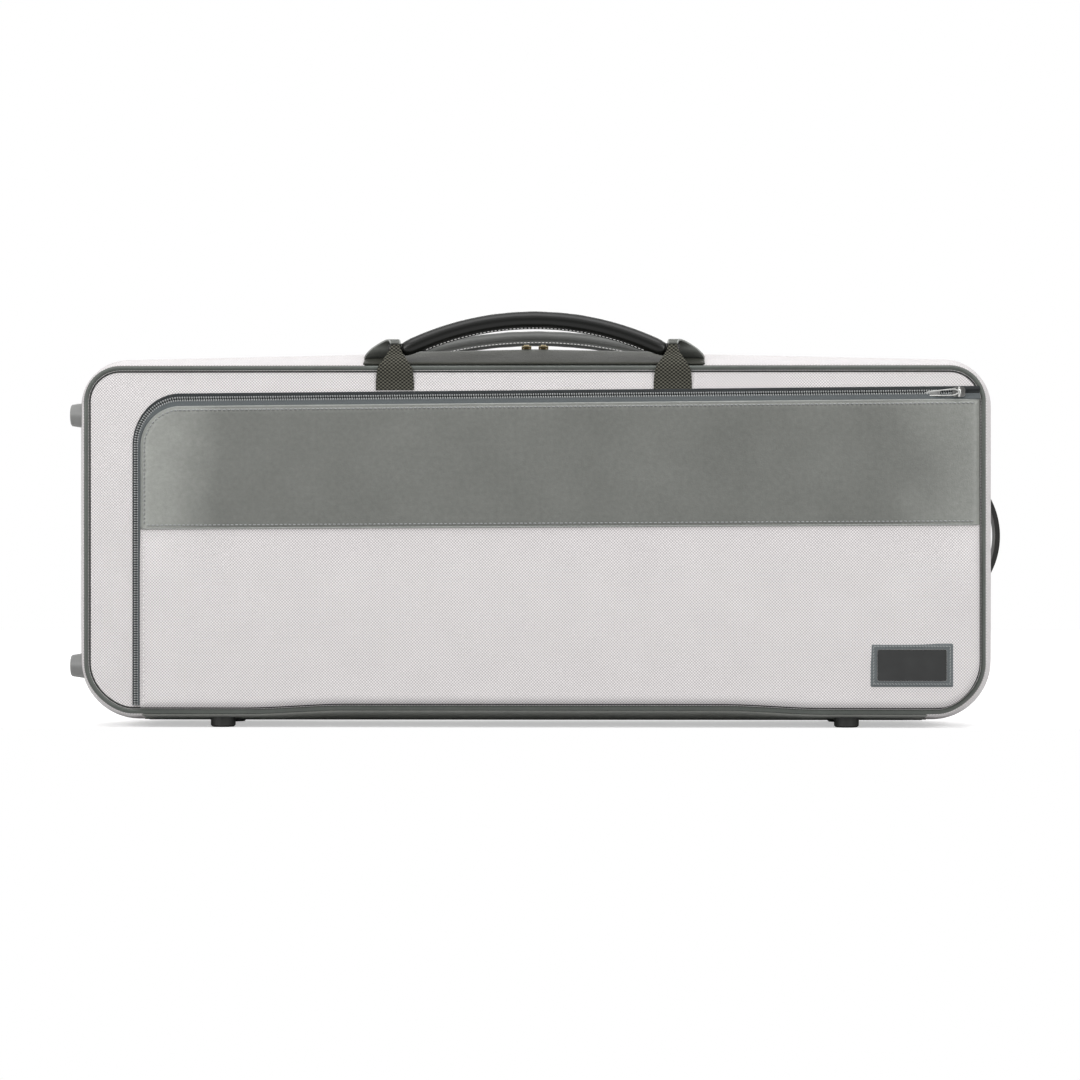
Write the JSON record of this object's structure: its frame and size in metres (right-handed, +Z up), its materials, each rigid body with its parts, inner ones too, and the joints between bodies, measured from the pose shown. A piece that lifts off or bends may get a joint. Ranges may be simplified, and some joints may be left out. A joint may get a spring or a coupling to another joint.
{
  "type": "viola case",
  "caption": "Oblong soft-covered viola case with a hinged lid, three-sided zip, paired grip handles, a music pocket and a padded bed inside.",
  "frame": {"origin": "on the floor under the middle of the case's box, standing on its spine feet", "axes": "+X along the case to the side-handle end, +Y from the lid to the back, +Z up"},
  "size_m": [0.8309, 0.1668, 0.367],
  "materials": {
    "shell_core": "laminated foam and veneer, seen only at the rim",
    "cover_fabric": "warm light grey coarse twill, slight sheen",
    "band_leather": "dark grey grained leather, satin",
    "piping": "dark cord piping, satin",
    "zip_tape": "blue-grey woven tape",
    "zip_teeth": "dark coil teeth, satin",
    "webbing": "black coarse ribbed webbing",
    "handle_leather": "glossy black rolled leather with a pale stitch",
    "tab_leather": "grey leather with a pale cut edge",
    "brass": "aged brass, polished wear",
    "silver": "nickel plated",
    "foot_rubber": "black moulded rubber",
    "stud_plastic": "grey satin moulded plastic",
    "side_handle_plastic": "black moulded strap, brown-grey edge",
    "patch_leather": "blue-grey leather with a stitched border",
    "plate_gloss": "bare glossy grey plate",
    "lining_velvet": "dark grey velvet, short pile",
    "box_core": "velvet-faced board",
    "button_wood": "dark turned hardwood, satin"
  },
  "bodies": {
    "case_body": {"body_shell": "shell_core", "body_back_panel": "cover_fabric", "body_piping": "piping", "body_zip_tape": "zip_tape", "body_zip_teeth": "zip_teeth", "body_hinge_tape": "webbing", "body_top_band": "band_leather", "body_spine_band": "band_leather", "body_end_covers": "cover_fabric", "body_feet": "foot_rubber", "body_end_studs": "stud_plastic", "rear_webbing_loops": "webbing", "rear_handle_tabs": "tab_leather", "side_handle": "side_handle_plastic", "side_handle_caps": "side_handle_plastic", "bed_base": "lining_velvet", "viola_bed": "lining_velvet", "bed_neck_block": "lining_velvet", "bed_upper_block": "lining_velvet", "neck_rest": "lining_velvet", "neck_strap": "webbing", "utility_box": "box_core"},
    "lid": {"lid_shell": "shell_core", "lid_front_panel": "cover_fabric", "lid_piping": "piping", "lid_zip_tape": "zip_tape", "lid_zip_teeth": "zip_teeth", "lid_hinge_tape": "webbing", "lid_top_band": "band_leather", "lid_spine_band": "band_leather", "lid_end_covers": "cover_fabric", "lid_feet": "foot_rubber", "lid_end_studs": "stud_plastic", "front_webbing_loops": "webbing", "front_handle_tabs": "tab_leather", "pocket_leather_band": "band_leather", "pocket_fabric_panel": "cover_fabric", "pocket_zip_tape": "zip_tape", "pocket_zip_teeth": "zip_teeth", "label_patch": "patch_leather", "label_plate": "plate_gloss", "lid_lining": "lining_velvet", "turn_button_posts": "button_wood", "bow_tip_sleeves": "lining_velvet"},
    "front_handle": {"front_handle": "handle_leather"},
    "rear_handle": {"rear_handle": "handle_leather"},
    "left_slider": {"left_slider": "brass"},
    "left_pull": {"left_pull": "brass"},
    "right_slider": {"right_slider": "brass"},
    "right_pull": {"right_pull": "brass"},
    "music_slider": {"pocket_slider": "silver"},
    "music_pull": {"pocket_pull": "silver"},
    "turn_button_lower": {"turn_button_lower": "button_wood"},
    "turn_button_upper": {"turn_button_upper": "button_wood"},
    "utility_lid": {"utility_lid": "box_core"}
  },
  "joints": [
    {"name": "case_lid_hinge", "type": "hinge", "parent": "case_body", "child": "lid", "pos_m": [0, -0.018, 0.006], "axis": [1, 0, 0], "range_deg": [0, 100]},
    {"name": "front_handle_fold", "type": "hinge", "parent": "lid", "child": "front_handle", "pos_m": [0, -0.063, 0.334], "axis": [1, 0, 0], "range_deg": [-25, 100]},
    {"name": "rear_handle_fold", "type": "hinge", "parent": "case_body", "child": "rear_handle", "pos_m": [0, 0.057, 0.334], "axis": [1, 0, 0], "range_deg": [-45, 70]},
    {"name": "left_slider_travel", "type": "slide", "parent": "case_body", "child": "left_slider", "axis": [-0.9998, 0, -0.022], "range_m": [0, 0.342]},
    {"name": "right_slider_travel", "type": "slide", "parent": "case_body", "child": "right_slider", "axis": [0.9998, 0, -0.022], "range_m": [0, 0.342]},
    {"name": "left_pull_swing", "type": "hinge", "parent": "left_slider", "child": "left_pull", "pos_m": [-0.00761, -0.018, 0.33803], "axis": [0.9998, 0, 0.022], "range_deg": [0, 115]},
    {"name": "right_pull_swing", "type": "hinge", "parent": "right_slider", "child": "right_pull", "pos_m": [0.00761, -0.018, 0.33803], "axis": [0.9998, 0, -0.022], "range_deg": [0, 115]},
    {"name": "music_slider_travel", "type": "slide", "parent": "lid", "child": "music_slider", "axis": [-1, 0, -0.0087], "range_m": [0, 0.672]},
    {"name": "music_pull_swing", "type": "hinge", "parent": "music_slider", "child": "music_pull", "pos_m": [0.372, -0.0802, 0.29496], "axis": [-0.0087, 0, 1], "range_deg": [0, 150]},
    {"name": "turn_button_lower_turn", "type": "hinge", "parent": "lid", "child": "turn_button_lower", "pos_m": [0.285, -0.036, 0.105], "axis": [0, 1, 0], "range_deg": [-90, 90]},
    {"name": "turn_button_upper_turn", "type": "hinge", "parent": "lid", "child": "turn_button_upper", "pos_m": [0.285, -0.036, 0.225], "axis": [0, 1, 0], "range_deg": [-90, 90]},
    {"name": "utility_lid_hinge", "type": "hinge", "parent": "case_body", "child": "utility_lid", "pos_m": [0, 0.0047, 0.2967], "axis": [-1, 0, 0], "range_deg": [0, 90]}
  ]
}
